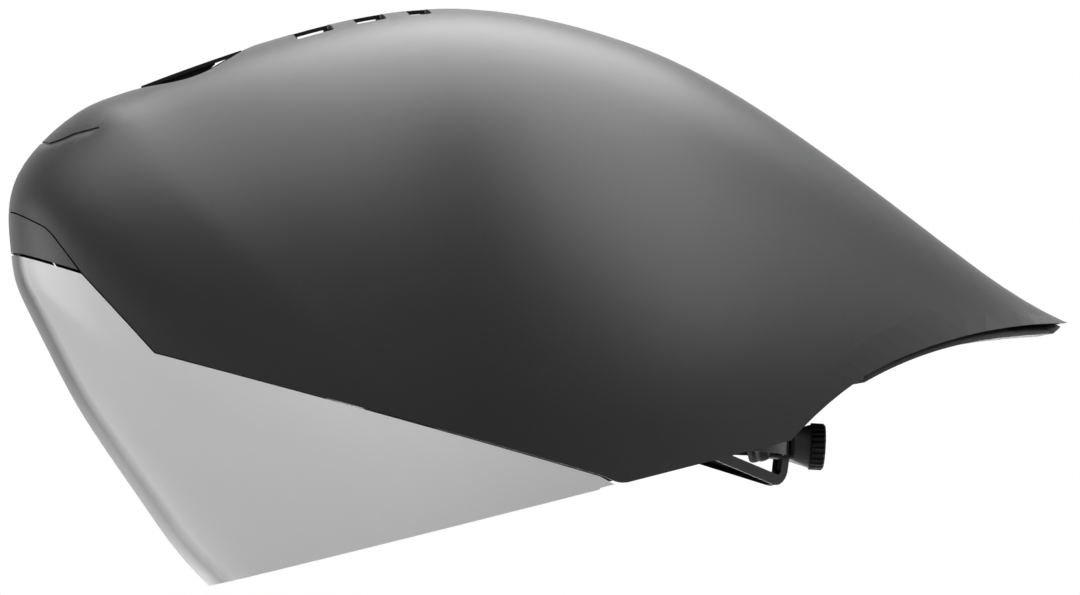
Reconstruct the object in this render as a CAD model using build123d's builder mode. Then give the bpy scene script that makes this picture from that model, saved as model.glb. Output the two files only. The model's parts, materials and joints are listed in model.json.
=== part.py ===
from build123d import *
import math
import os

# Aero time trial helmet, in millimetres.
# The rim plane is level at z = 0, the front is -Y, the wearer's left is +X.
# The origin is the centre of the head opening.

# Whole helmet
helmet_length = 430.0
helmet_height = 219.5
helmet_half_width = 149.0
head_from_nose = 191.5
overrun = 40.0
assembly_gap = 0.3

# Fullness of the form, seen from above
widest_from_nose = 185.0
nose_half_width = 106.0
tail_half_width = 60.0
taper_fullness_share = 0.75
fan_axis_drop = 60.0
fan_hub_radius = 24.0
widest_height = 50.0
tuck_share = 0.12
mid_fullness_share = 2.3
tail_fullness_share = 4.0
oval_steps = 8

# Walls
shell_wall = 1.8
lens_wall = 2.2
seam_gap = 0.6
skirt_wall = 7.0

# Head
head_half_width = 80.0
head_half_length = 100.0
head_half_height = 102.0
head_centre_height = 85.0
ear_half_width = 118.0
ear_half_length = 104.0
ear_height = 75.0

# Vents along the crown
vent_half_width = 29.0
slot_half_width = 13.0
window_corner = 1.5
intake_point_run = 8.0
trough_half_width = 33.0
trough_depth = 12.0
rib_half_width = 3.0
rib_depth = 1.6
rib_post_run = 1.6

# Pads
pad_thickness = 8.0

# Rear end of the lens
lens_tip_share = 0.5002
lens_tip_radius = 2.0

# Crease beside the intake
crease_width = 1.2
crease_depth = 0.45

# Lens tabs, their magnets and the docks above them
front_tab_half_width = 12.0
front_tab_share = 0.034
front_tab_run = 28.0
side_tab_share = 0.34
side_tab_run = 26.0
side_tab_low_x = 112.0
tab_wall = 2.0
tab_glue = 7.0
tab_rise = 12.0
magnet_wall = 2.0
magnet_height = 5.0
magnet_shrink = 5.0
dock_height = 8.0
dock_wall = 1.5

# Foam
pocket_half_width = 9.5
pocket_lead = 5.0
pocket_depth = 13.0
pocket_top = 98.0
trough_start_share = 0.128
trough_end_share = 0.76
rib_end_run = 3.0
rib_recess = 0.2

# Tail cover
cover_inset = 2.6
cover_start_share = 0.772

# Low side linings
skirt_front_low = 40.0
skirt_front_high = 10.0
skirt_rear = 105.0
skirt_low = 5.0
skirt_high = 38.5
skirt_low_x = 60.0

# Pad places
brow_pad_half = 42.0
brow_pad_low = 96.0
brow_pad_high = 124.0
crown_pad_half = 24.0
crown_pad_run = 40.0
rear_pad_low = 104.0
rear_pad_high = 132.0
side_pad_run = 26.0
side_pad_low = 92.0
side_pad_high = 122.0

# Cradle pivots at the temples
cradle_tilt = 17.5
temple_y = -40.0
temple_height = 45.0
temple_half_width = 76.0
bracket_x = 84.0
bracket_wall = 2.5
bracket_half = 9.0
flange_run = 16.0
axle_radius = 2.1
bearing_clearance = 0.08
axle_end = 1.5
disc_radius = 9.0
disc_wall = 3.0
lug_height = 4.9
lug_wall = 2.0
eye_radius = 4.0
pin_radius = 1.45

# Arms and their racks
band_wall = 1.8
band_half_height = 4.5
band_straight = 60.0
rack_outer = 25.0
rack_inner = 10.2
rack_block = 6.0
rack_width = 2.2
rack_wall = 1.4
rack_side_teeth = 5
tooth_module = 0.6
addendum_share = 0.75
pinion_teeth = 8
mesh_clearance = 0.14
flank_angle = 20.0
rack_setback = 3.4
hub_face = 150.0

# Hub and dial
rack_room = 8.0
hub_half_width = 16.0
hub_half_height = 6.2
hub_corner = 2.5
hub_wall = 1.6
cover_wall = 1.6
shaft_radius = 1.55
pilot_radius = 1.2
pinion_width = 3.4
pinion_root_half = 0.42
pinion_tip_half = 0.14
dial_face = 167.5
dial_radius = 10.0
dial_wall = 6.0
dial_chamfer = 0.8
dial_recess = 3.2
dial_grips = 24
grip_radius = 0.75
cone_step = 0.8
spring_outer = 6.0
spring_room = 2.2
spring_wall = 0.7
spring_fingers = 3
click_teeth = 12
click_radius = 0.5
click_height = 0.5
click_gap = 0.2
screw_radius = 0.9
screw_length = 5.0
screw_head_radius = 2.4
screw_head_wall = 1.6
screw_floor = 0.6
screw_drive_radius = 1.1

# Cradle loops
loop_arm_x = 44.0
loop_arm_y = 76.0
loop_arm_z = 1.2
loop_low_x = 10.0
loop_low_y = 103.0
loop_drop = 17.0
loop_hub_x = 13.0
loop_hub_y = 109.5
loop_hub_z = 0.0
loop_bend = 4.0
loop_wall = 2.2
loop_width = 4.6
groove_width = 1.4
groove_depth = 0.5

# Pads and strip on the hub
nape_pad_half = 11.0
nape_pad_half_height = 8.5
nape_pad_wall = 5.0
pad_side_gap = 1.0
strip_half_width = 6.0
strip_wall = 1.6
strip_foot_drop = 4.0
strip_bend_height = 7.0
strip_bend_radius = 12.0
strip_top = 82.0

# Chin strap
strap_x = 92.0
strap_front_y = -14.0
strap_rear_y = 50.0
strap_join_y = 18.0
strap_join_z = 36.0
strap_low = 24.0
webbing_width = 15.0
webbing_wall = 1.4
anchor_half = 4.0
anchor_edge = 2.0
anchor_wall = 3.0
divider_half_wall = 2.8
divider_edge = 3.0
divider_height = 4.0
divider_z = 26.0
buckle_width = 22.0
buckle_height = 19.0
buckle_half_wall = 4.0
buckle_corner = 2.0
prong_wall = 3.0
prong_height = 13.0

# Side view of the crown line, as shares of length from the nose and of height
crown_shares = [
    (0.144, -0.128), (0.1112, 0.0), (0.0742, 0.150), (0.0403, 0.328), (0.0153, 0.501),
    (0.0010, 0.629), (0.0, 0.706), (0.0067, 0.784), (0.0198, 0.847), (0.0424, 0.894),
    (0.0777, 0.936), (0.1453, 0.968), (0.236, 0.988), (0.352, 1.0), (0.4547, 0.984),
    (0.5407, 0.934), (0.622, 0.852), (0.7244, 0.697), (0.8198, 0.490), (0.9128, 0.263),
    (0.9610, 0.155), (0.9983, 0.089), (1.0547, 0.018),
]

# Seams and rim in side view, in the same shares
seam_shares = [(-0.05, 0.784), (0.0548, 0.648), (0.102, 0.465), (0.485, 0.027)]
brow_shares = [(0.0548, 0.648), (0.038, 0.735), (0.033, 0.753), (-0.05, 0.914)]
crease_shares = [(0.055, 0.916), (0.061, 0.906), (0.073, 0.9075), (0.086, 0.912), (0.110, 0.912)]
shell_corner_share = 0.512
rim_end_share = 0.682
tail_rise_shares = [(0.740, 0.060), (0.788, 0.0914), (0.830, 0.105), (0.894, 0.111), (0.997, 0.0857)]
cover_low_shares = [(0.755, 0.063), (0.813, 0.089), (0.875, 0.0973), (0.9435, 0.0848), (0.979, 0.0725)]
foam_shares = [(-0.05, 0.80), (0.06, 0.80), (0.09, 0.70), (0.145, 0.50), (0.40, 0.18), (0.80, 0.18)]


def at(length_share, height_share):
    """A point of the side view, as (y, z)."""
    return (length_share * helmet_length - head_from_nose, height_share * helmet_height)


def points_at(shares):
    return [at(*share) for share in shares]


def half_breadth(y, z):
    """Half the width that the form would have at the side, at y along and z up."""
    widest_y = widest_from_nose - head_from_nose
    if y < widest_y:
        run = widest_from_nose
        end = nose_half_width
        fullness = 1
    else:
        run = helmet_length - widest_from_nose
        end = tail_half_width
        fullness = taper_fullness_share
    turn = math.pi * min(1, abs(y - widest_y) / run)
    breadth = end + (helmet_half_width - end) * ((1 + math.cos(turn)) / 2) ** fullness
    below = max(0, widest_height - z) / (widest_height + fan_axis_drop)
    return breadth * (1 - tuck_share * below ** 2)


with BuildLine(Plane.YZ) as crown:
    crown_line = Spline(*points_at(crown_shares))

fan_axis = Vector(0, 0, -fan_axis_drop)


def crown_point(y, z, inset):
    """A point of the crown line, moved in square to the line by inset."""
    tip = Vector(0, y, z)
    along = crown_line.tangent_at(crown_line.param_at_point(tip))
    return tip - Vector(1, 0, 0).cross(along) * inset


def helmet_form(inset):
    """The closed outer form, drawn in by inset, lofted through ovals that fan about a low axis."""
    with BuildPart() as form:
        for y, z in points_at(crown_shares):
            point = crown_point(y, z, inset)
            reach = (point - fan_axis).length
            ray = (point - fan_axis).normalized()
            rear_share = max(0, ray.Y) ** 2
            fullness = mid_fullness_share + (tail_fullness_share - mid_fullness_share) * rear_share
            start = math.asin(((fan_hub_radius - inset) / reach) ** (fullness / 2))
            side = []
            for step in range(oval_steps):
                angle = start + (math.pi / 2 - start) * step / oval_steps
                out = reach * math.sin(angle) ** (2 / fullness)
                spot = fan_axis + ray * out
                half = half_breadth(spot.Y, spot.Z) - inset
                side.append((half * math.cos(angle) ** (2 / fullness), out))
            other = [(-x, out) for x, out in reversed(side)]
            with BuildSketch(Plane(fan_axis, x_dir=(1, 0, 0), z_dir=Vector(1, 0, 0).cross(ray))):
                with BuildLine():
                    oval = Spline(*side, (0, reach), *other)
                    Line(oval @ 1, oval @ 0)
                make_face()
        loft()
    return form.part


forms = {}


def form_at(inset):
    """The closed form drawn in by inset, lofted once."""
    if inset not in forms:
        forms[inset] = helmet_form(inset)
    return forms[inset]


def side_prism(outline, low_x, high_x):
    """A block with a side view outline, between two distances from the middle."""
    with BuildPart() as prism:
        with BuildSketch(Plane.YZ.offset(low_x)):
            with BuildLine():
                Polyline(*outline, close=True)
            make_face()
        extrude(amount=high_x - low_x)
    return prism.part


def upright_block(x_low, x_high, y_low, y_high, z_low, z_high):
    """A plain block between low and high places."""
    with BuildPart() as block:
        with BuildSketch(Plane.XY.offset(z_low)):
            with Locations(((x_low + x_high) / 2, (y_low + y_high) / 2)):
                Rectangle(x_high - x_low, y_high - y_low)
        extrude(amount=z_high - z_low)
    return block.part


def skin(block, outer_inset, inner_inset):
    """The part of a block that lies between two insets of the form."""
    with BuildPart() as layer:
        add(block)
        add(form_at(outer_inset), mode=Mode.INTERSECT)
        add(form_at(inner_inset), mode=Mode.SUBTRACT)
    return layer.part


def head_form(inset):
    """The head room: half an ellipsoid over an upright oval."""
    half_width = head_half_width - inset
    half_length = head_half_length - inset
    with BuildPart() as room:
        with BuildSketch(Plane.XY.offset(-overrun)):
            Ellipse(half_width, half_length)
        extrude(amount=overrun + head_centre_height)
        add(Pos(0, 0, head_centre_height) * scale(
            Sphere(1, mode=Mode.PRIVATE), (half_width, half_length, head_half_height - inset),
            mode=Mode.PRIVATE))
    return room.part


def save(piece, name):
    piece.label = name
    export_step(piece, f"parts/{name}.step")


def mirrored(piece):
    return mirror(piece, about=Plane.YZ, mode=Mode.PRIVATE)


os.makedirs("parts", exist_ok=True)
side_reach = helmet_half_width + overrun
top_share = 1.2

# Seam lines that the shell, the front panel and the lens share
seam = points_at(seam_shares)
brow = points_at(brow_shares)
shell_corner = at(shell_corner_share, 0)
rim_end = at(rim_end_share, 0)

# The windows along the crown, in plan: start and end shares of length
window_shares = [(0.323, 0.361), (0.384, 0.4142), (0.437, 0.4588)]
slot_shares = [(0.501, 0.599), (0.6175, 0.7267)]
intake_shares = (0.148, 0.2895)
intake_widest_share = 0.225


def y_at(length_share):
    return length_share * helmet_length - head_from_nose


# The windows as tall blocks: the pointed intake, then the short windows and the long slots
with BuildPart() as windows:
    with BuildSketch(Plane.XY.offset(helmet_height / 2)):
        for group, half in ((window_shares, vent_half_width), (slot_shares, slot_half_width)):
            for start, end in group:
                with Locations((0, (y_at(start) + y_at(end)) / 2)):
                    RectangleRounded(2 * half, y_at(end) - y_at(start), window_corner)
        with BuildLine():
            nose_end = (0, y_at(intake_shares[0]))
            rear_end = (0, y_at(intake_shares[1]))
            Spline(nose_end, (vent_half_width, y_at(intake_widest_share)), rear_end)
            Spline(rear_end, (-vent_half_width, y_at(intake_widest_share)), nose_end)
        make_face()
    extrude(amount=helmet_height)

# Outer shell, with a shallow crease beside the intake
with BuildPart() as crease:
    with BuildSketch(Plane.YZ.offset(-side_reach)):
        with BuildLine() as crease_line:
            Polyline(*points_at(crease_shares))
        trace(crease_line.line.edges(), crease_width)
    extrude(amount=2 * side_reach)
    add(form_at(crease_depth), mode=Mode.SUBTRACT)
with BuildPart() as shell_block:
    with BuildSketch(Plane.YZ.offset(-side_reach)):
        with BuildLine():
            Polyline(brow[-1], *reversed(brow[:-1]), *seam[2:])
            Spline(seam[-1], shell_corner, tangents=(
                Vector(*seam[-1]) - Vector(*seam[-2]), (1, 0)))
            Line(shell_corner, rim_end)
            rise = Spline(rim_end, *points_at(tail_rise_shares))
            Polyline(rise @ 1, at(top_share, tail_rise_shares[-1][1]), at(top_share, top_share),
                     at(brow_shares[-1][0], top_share), brow[-1])
        make_face()
    extrude(amount=2 * side_reach)
    add(windows.part, mode=Mode.SUBTRACT)
with BuildPart() as outer_shell:
    add(skin(shell_block.part, 0, shell_wall))
    add(crease.part, mode=Mode.SUBTRACT)
save(outer_shell.part, "outer_shell")

# Front panel above the lens
with BuildPart() as brow_insert:
    with BuildSketch(Plane.YZ.offset(-side_reach)):
        with BuildLine():
            Polyline(seam[0], *brow, close=True)
        make_face()
        offset(amount=-seam_gap, kind=Kind.INTERSECTION, mode=Mode.REPLACE)
    extrude(amount=2 * side_reach)
    add(form_at(0), mode=Mode.INTERSECT)
    add(form_at(shell_wall), mode=Mode.SUBTRACT)
save(brow_insert.part, "brow_insert")

# Lens, with its rounded rear tip a little below the shell
lens_tip = at(lens_tip_share, 0)
lens_front = seam[0][0]
lens_flat_end = lens_tip[0] - lens_tip_radius * 4
lens_flat_height = seam_gap * 2
with BuildPart() as visor_lens:
    with BuildSketch(Plane.YZ.offset(-side_reach)):
        with BuildLine():
            Polyline((lens_front, 0), *seam, lens_tip, (lens_front, 0))
        make_face()
        offset(amount=-seam_gap, kind=Kind.INTERSECTION, mode=Mode.REPLACE)
        with BuildLine():
            Polyline((lens_front, 0), (lens_front, lens_flat_height), (lens_flat_end, lens_flat_height),
                     (lens_flat_end, 0), close=True)
        make_face()
    extrude(amount=2 * side_reach)
    add(form_at(0), mode=Mode.INTERSECT)
    add(form_at(lens_wall), mode=Mode.SUBTRACT)
save(visor_lens.part, "visor_lens")


def tab_outline(y_low, y_high, below, above):
    """Side view of a strip along the lens seam, from below the seam to above it."""
    line = []
    for y in (y_low, y_high):
        for (y1, z1), (y2, z2) in zip(seam, seam[1:]):
            if y1 <= y <= y2:
                line.append((y, z1 + (z2 - z1) * (y - y1) / (y2 - y1)))
    return [(y, z - below) for y, z in line] + [(y, z + above) for y, z in reversed(line)]


tab_places = [
    (-front_tab_half_width, front_tab_half_width, y_at(front_tab_share) - front_tab_run, y_at(front_tab_share)),
    (side_tab_low_x, side_reach, y_at(side_tab_share) - side_tab_run, y_at(side_tab_share)),
]


def tab_blocks(below, above, shrink):
    """A block along the seam at each tab place: the front, and one side."""
    blocks = []
    for low_x, high_x, low_y, high_y in tab_places:
        outline = tab_outline(low_y + shrink, high_y - shrink, below, above)
        blocks.append(side_prism(outline, low_x + shrink, high_x - shrink))
    return blocks


def tab_pieces(below, above, outer_inset, inner_inset, shrink):
    """One piece behind the seam at each tab place, between two insets of the form."""
    front, side = [skin(block, outer_inset, inner_inset) for block in tab_blocks(below, above, shrink)]
    with BuildPart() as pieces:
        add(front)
        add(side)
        add(mirrored(side))
    return pieces.part


tab_inner = lens_wall + tab_wall
save(tab_pieces(tab_glue, tab_rise, lens_wall, tab_inner, 0), "visor_tabs")
save(tab_pieces(-(tab_rise - magnet_height), tab_rise, tab_inner, tab_inner + magnet_wall, magnet_shrink),
     "visor_magnets")
dock_low = tab_rise + assembly_gap
dock_top = dock_low + dock_height
save(tab_pieces(-dock_low, dock_low + magnet_height, tab_inner, tab_inner + magnet_wall, magnet_shrink),
     "dock_magnets")
with BuildPart() as visor_docks:
    add(tab_pieces(-dock_low, dock_top, shell_wall + assembly_gap, tab_inner + magnet_wall + dock_wall, 0))
    for block in tab_blocks(-dock_low, dock_low + magnet_height + assembly_gap, magnet_shrink - assembly_gap):
        add(block, mode=Mode.SUBTRACT)
        add(mirrored(block), mode=Mode.SUBTRACT)
save(visor_docks.part, "visor_docks")

# Foam liner: head room, ear room, trough under the crown, strip pocket
foam_inset = shell_wall + assembly_gap
with BuildPart() as foam_block:
    with BuildSketch(Plane.YZ.offset(-side_reach)):
        with BuildLine():
            Polyline(*points_at(foam_shares), at(foam_shares[-1][0], top_share),
                     at(foam_shares[0][0], top_share), close=True)
        make_face()
    extrude(amount=2 * side_reach)
    add(head_form(0), mode=Mode.SUBTRACT)
    with BuildSketch(Plane.XY.offset(-overrun)):
        Ellipse(ear_half_width, ear_half_length)
    extrude(amount=overrun + ear_height, mode=Mode.SUBTRACT)
    add(upright_block(-pocket_half_width, pocket_half_width, head_half_length - pocket_lead,
                      head_half_length + pocket_depth, 0, pocket_top), mode=Mode.SUBTRACT)
    for block in tab_blocks(overrun, dock_top + assembly_gap, -assembly_gap):
        add(block, mode=Mode.SUBTRACT)
        add(mirrored(block), mode=Mode.SUBTRACT)
trough_block = upright_block(-trough_half_width, trough_half_width, y_at(trough_start_share),
                             y_at(trough_end_share), helmet_height / 2, helmet_height)
with BuildPart() as trough:
    add(trough_block)
    add(form_at(foam_inset + trough_depth), mode=Mode.SUBTRACT)
with BuildPart() as foam_liner:
    add(foam_block.part)
    add(form_at(foam_inset), mode=Mode.INTERSECT)
    add(trough.part, mode=Mode.SUBTRACT)
save(foam_liner.part, "foam_liner")


def rib_piece(low_y, high_y, outer_inset, inner_inset):
    """A length of the rib, between two depths below the crown line."""
    with BuildPart() as piece:
        with BuildSketch(Plane.YZ.offset(-rib_half_width)):
            with BuildLine():
                lines = []
                for inset in (outer_inset, inner_inset):
                    points = [crown_point(y, z, inset) for y, z in points_at(crown_shares)]
                    lines.append(Spline(*[(point.Y, point.Z) for point in points]))
                Line(lines[0] @ 0, lines[1] @ 0)
                Line(lines[0] @ 1, lines[1] @ 1)
            make_face()
            with Locations(((low_y + high_y) / 2, helmet_height)):
                Rectangle(high_y - low_y, helmet_height, mode=Mode.INTERSECT)
        extrude(amount=2 * rib_half_width)
    return piece.part


# Rib along the crown: a rail under the bridges of the shell, a strip up in each window, and
# posts that join them at the window's ends
rib_spans = [(y_at(intake_shares[0]) + intake_point_run, y_at(intake_shares[1]) - intake_point_run)]
for start, end in window_shares + slot_shares:
    rib_spans.append((y_at(start) + seam_gap, y_at(end) - seam_gap))
rail_low = foam_inset + rib_depth
with BuildPart() as centre_rib:
    rail_start = y_at(intake_shares[0]) - rib_end_run
    for start, end in rib_spans:
        add(rib_piece(rail_start, start + rib_post_run, foam_inset, rail_low))
        add(rib_piece(start, end, rib_recess, rib_recess + rib_depth))
        for post_start in (start, end - rib_post_run):
            add(rib_piece(post_start, post_start + rib_post_run, rib_recess, rail_low))
        rail_start = end - rib_post_run
    add(rib_piece(rail_start, y_at(slot_shares[-1][1]) + rib_end_run, foam_inset, rail_low))
save(centre_rib.part, "centre_rib")

# Tail cover, closing the tail from below
with BuildPart() as tail_cover:
    with BuildSketch(Plane.YZ.offset(-side_reach)):
        with BuildLine():
            upper = Spline(rim_end, *points_at(tail_rise_shares))
            lower = Spline(rim_end, *points_at(cover_low_shares))
            Line(lower @ 1, upper @ 1)
        make_face()
    extrude(amount=2 * side_reach)
    add(form_at(cover_inset), mode=Mode.INTERSECT)
    add(upright_block(-side_reach, side_reach, -helmet_length, y_at(cover_start_share), -overrun, helmet_height),
        mode=Mode.SUBTRACT)
save(tail_cover.part, "tail_cover")

# Foam linings of the low sides
skirt_outline = [
    (skirt_front_low, skirt_low), (skirt_rear, skirt_low), (skirt_rear, skirt_high), (skirt_front_high, skirt_high)]
skirt = skin(side_prism(skirt_outline, skirt_low_x, side_reach), foam_inset, foam_inset + skirt_wall)
save(skirt, "skirt_lining_left")
save(mirrored(skirt), "skirt_lining_right")

# Comfort pads, each a patch of the head room's wall
pad_layer_out = head_form(assembly_gap)
pad_layer_in = head_form(assembly_gap + pad_thickness)
pads = {
    "brow_pad": (-brow_pad_half, brow_pad_half, -head_half_length, -brow_pad_half, brow_pad_low, brow_pad_high),
    "crown_pad": (-crown_pad_half, crown_pad_half, -crown_pad_run, crown_pad_run,
                  helmet_height / 2 + crown_pad_run, helmet_height),
    "rear_pad": (-brow_pad_half, brow_pad_half, brow_pad_half, head_half_length, rear_pad_low, rear_pad_high),
    "side_pad_left": (crown_pad_run, head_half_width, -side_pad_run, side_pad_run, side_pad_low, side_pad_high),
}
for name, corners in pads.items():
    with BuildPart() as pad:
        add(upright_block(*corners))
        add(pad_layer_out, mode=Mode.INTERSECT)
        add(pad_layer_in, mode=Mode.SUBTRACT)
    save(pad.part, name)
    if name == "side_pad_left":
        save(mirrored(pad.part), "side_pad_right")

# Cradle frame: a plane through the temple pivots that leans down to the rear
lean = math.radians(cradle_tilt)
cradle = Plane((0, temple_y, temple_height), x_dir=(1, 0, 0), z_dir=(0, math.sin(lean), math.cos(lean)))


def behind(distance):
    """A plane across the cradle, at a distance behind the temple pivots, facing forward."""
    return Plane(cradle.from_local_coords((0, distance, 0)), x_dir=(1, 0, 0), z_dir=-cradle.y_dir)


side_at_temple = Plane((0, temple_y, temple_height), x_dir=(0, 1, 0), z_dir=(1, 0, 0))

# Temple brackets: a flange under the foam and a web with the bearing hole
with BuildPart() as bracket:
    add(upright_block(bracket_x, bracket_x + flange_run, temple_y - bracket_half, temple_y + bracket_half,
                      ear_height - assembly_gap - bracket_wall, ear_height - assembly_gap))
    add(upright_block(bracket_x, bracket_x + bracket_wall, temple_y - bracket_half, temple_y + bracket_half,
                      temple_height - bracket_half, ear_height - assembly_gap))
    with BuildSketch(side_at_temple.offset(bracket_x - bracket_wall)):
        Circle(axle_radius + bearing_clearance)
    extrude(amount=3 * bracket_wall, mode=Mode.SUBTRACT)
with BuildPart() as temple_brackets:
    add(bracket.part)
    add(mirrored(bracket.part))
save(temple_brackets.part, "temple_brackets")

# Temple discs: an axle in the bracket and two lugs for the arm's pin
disc_x = bracket_x - assembly_gap - disc_wall
with BuildPart() as disc:
    with BuildSketch(side_at_temple.offset(disc_x)):
        Circle(disc_radius)
    extrude(amount=disc_wall)
    with BuildSketch(side_at_temple.offset(disc_x)):
        Circle(axle_radius)
    extrude(amount=disc_wall + assembly_gap + bracket_wall + axle_end)
    for level in (lug_height, -lug_height - lug_wall):
        with BuildSketch(cradle.offset(level)):
            with Locations((temple_half_width, 0)):
                Circle(eye_radius)
            with Locations(((temple_half_width + disc_x) / 2 + disc_wall / 2, 0)):
                Rectangle(disc_x - temple_half_width + disc_wall, 2 * eye_radius)
        extrude(amount=lug_wall)
    with BuildSketch(cradle.offset(-2 * lug_height)):
        with Locations((temple_half_width, 0)):
            Circle(pin_radius + bearing_clearance)
    extrude(amount=4 * lug_height, mode=Mode.SUBTRACT)
with BuildPart() as temple_discs:
    add(disc.part)
    add(mirrored(disc.part))
save(temple_discs.part, "temple_discs")

with BuildPart() as temple_pins:
    with BuildSketch(cradle.offset(-lug_height - lug_wall)):
        with Locations((temple_half_width, 0), (-temple_half_width, 0)):
            Circle(pin_radius)
    extrude(amount=2 * (lug_height + lug_wall))
save(temple_pins.part, "temple_pins")

# Arms: an eye on the pin, a curved band round the head and a toothed rack in the hub
tooth_pitch = math.pi * tooth_module
pitch_radius = pinion_teeth * tooth_module / 2
rack_root = pitch_radius + tooth_module
rack_tip = pitch_radius - tooth_module * addendum_share
rack_top = rack_root + rack_wall
rack_middle = hub_face + rack_setback + rack_width / 2
half_tooth = tooth_pitch / 4 - mesh_clearance
flank = math.tan(math.radians(flank_angle))
with BuildPart() as arm_left:
    with BuildSketch(cradle.offset(-band_half_height)):
        with BuildLine() as band_line:
            Line((temple_half_width, 0), (temple_half_width, band_straight))
            EllipticalCenterArc((rack_outer, band_straight), temple_half_width - rack_outer,
                                rack_middle - band_straight, start_angle=0, arc_size=90)
        trace(band_line.line.edges(), band_wall)
        with Locations((temple_half_width, 0)):
            Circle(eye_radius)
    extrude(amount=2 * band_half_height)
    with BuildSketch(cradle.offset(-band_half_height)):
        with Locations((rack_outer + rack_block / 2, rack_middle)):
            Rectangle(rack_block, rack_width)
    extrude(amount=band_half_height + rack_top)
    with BuildSketch(behind(rack_middle - rack_width / 2)):
        with Locations(((rack_outer + rack_block - rack_inner) / 2, (rack_root + rack_top) / 2)):
            Rectangle(rack_outer + rack_block + rack_inner, rack_top - rack_root)
        for index in range(-rack_side_teeth, rack_side_teeth + 1):
            middle = index * tooth_pitch
            tip_half = half_tooth - (pitch_radius - rack_tip) * flank
            root_half = half_tooth + (rack_root - pitch_radius) * flank
            with BuildLine():
                Polyline((middle - root_half, rack_root + rack_wall / 2), (middle - root_half, rack_root),
                         (middle - tip_half, rack_tip), (middle + tip_half, rack_tip),
                         (middle + root_half, rack_root), (middle + root_half, rack_root + rack_wall / 2),
                         close=True)
            make_face()
    extrude(amount=-rack_width)
    with BuildSketch(cradle.offset(-2 * band_half_height)):
        with Locations((temple_half_width, 0)):
            Circle(pin_radius + bearing_clearance)
    extrude(amount=4 * band_half_height, mode=Mode.SUBTRACT)
save(arm_left.part, "arm_left")
turned = arm_left.part.rotate(Axis(cradle.from_local_coords((0, 0, 0)), cradle.y_dir), 180)
save(turned, "arm_right")

# Hub housing: walls above, below and behind the racks, then a cone to the dial
housing_rear = hub_face + rack_room
with BuildPart() as hub_housing:
    with BuildSketch(behind(hub_face)):
        RectangleRounded(2 * hub_half_width, 2 * hub_half_height, hub_corner)
    extrude(amount=-rack_room - hub_wall)
    with BuildSketch(behind(housing_rear)):
        RectangleRounded(2 * hub_half_width, 2 * hub_half_height, hub_corner)
    with BuildSketch(behind(dial_face - assembly_gap)):
        cone_end = dial_radius - cone_step
        RectangleRounded(2 * cone_end, 2 * cone_end, cone_end - hub_corner / 2)
    loft()
    with BuildSketch(behind(hub_face)):
        Rectangle(3 * hub_half_width, 2 * (rack_top + assembly_gap))
    extrude(amount=-rack_room, mode=Mode.SUBTRACT)
    with BuildSketch(behind(hub_face)):
        Circle(shaft_radius + bearing_clearance)
    extrude(amount=-2 * (dial_face - hub_face), mode=Mode.SUBTRACT)
save(hub_housing.part, "hub_housing")

# Hub cover, which closes the rack room from the head side
with BuildPart() as hub_cover:
    with BuildSketch(behind(hub_face - cover_wall)):
        RectangleRounded(2 * hub_half_width, 2 * hub_half_height, hub_corner)
    extrude(amount=-cover_wall)
    with BuildSketch(behind(hub_face - cover_wall)):
        Circle(pilot_radius + bearing_clearance)
    extrude(amount=-cover_wall, mode=Mode.SUBTRACT)
save(hub_cover.part, "hub_cover")

# Pinion on its shaft, with a hole for the dial's screw
tooth_top = pitch_radius + tooth_module * addendum_share
with BuildPart() as pinion:
    with BuildSketch(behind(rack_middle - pinion_width / 2)):
        Circle(pitch_radius - tooth_module)
        with PolarLocations(0, pinion_teeth, start_angle=180 / pinion_teeth):
            Polygon((0, pinion_root_half), (0, -pinion_root_half),
                    (pitch_radius, -half_tooth + mesh_clearance / 2), (tooth_top, -pinion_tip_half),
                    (tooth_top, pinion_tip_half), (pitch_radius, half_tooth - mesh_clearance / 2), align=None)
    extrude(amount=-pinion_width)
    with BuildSketch(behind(hub_face - cover_wall)):
        Circle(pilot_radius)
    extrude(amount=-cover_wall - pinion_width)
    with BuildSketch(behind(rack_middle)):
        Circle(shaft_radius)
    extrude(amount=-(dial_face + dial_recess - rack_middle))
    with BuildSketch(behind(dial_face + dial_recess - screw_length)):
        Circle(screw_radius)
    extrude(amount=-screw_length, mode=Mode.SUBTRACT)
save(pinion.part, "pinion")

# Dial: a ribbed disc, hollow behind for the click spring
with BuildPart() as dial_knob:
    with BuildSketch(behind(dial_face)):
        Circle(dial_radius)
    extrude(amount=-dial_wall)
    dial_rear = dial_knob.faces().sort_by(Axis(cradle.origin, cradle.y_dir))[-1]
    chamfer(dial_rear.edges(), dial_chamfer)
    with BuildSketch(behind(dial_face)):
        with PolarLocations(dial_radius, dial_grips):
            Circle(grip_radius)
    extrude(amount=-dial_wall, mode=Mode.SUBTRACT)
    with BuildSketch(behind(dial_face)):
        Circle(spring_outer + assembly_gap)
    extrude(amount=-spring_room, mode=Mode.SUBTRACT)
    with BuildSketch(behind(dial_face)):
        Circle(shaft_radius + bearing_clearance / 2)
    extrude(amount=-dial_recess, mode=Mode.SUBTRACT)
    with BuildSketch(behind(dial_face)):
        Circle(screw_radius + assembly_gap)
    extrude(amount=-dial_wall, mode=Mode.SUBTRACT)
    with BuildSketch(behind(dial_face + dial_wall - screw_head_wall - assembly_gap)):
        Circle(screw_head_radius + assembly_gap)
    extrude(amount=-screw_head_wall - assembly_gap, mode=Mode.SUBTRACT)
    with BuildSketch(behind(dial_face + spring_room)):
        with PolarLocations((spring_outer + shaft_radius) / 2, click_teeth):
            Circle(click_radius)
    extrude(amount=click_height)
save(dial_knob.part, "dial_knob")

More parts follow.
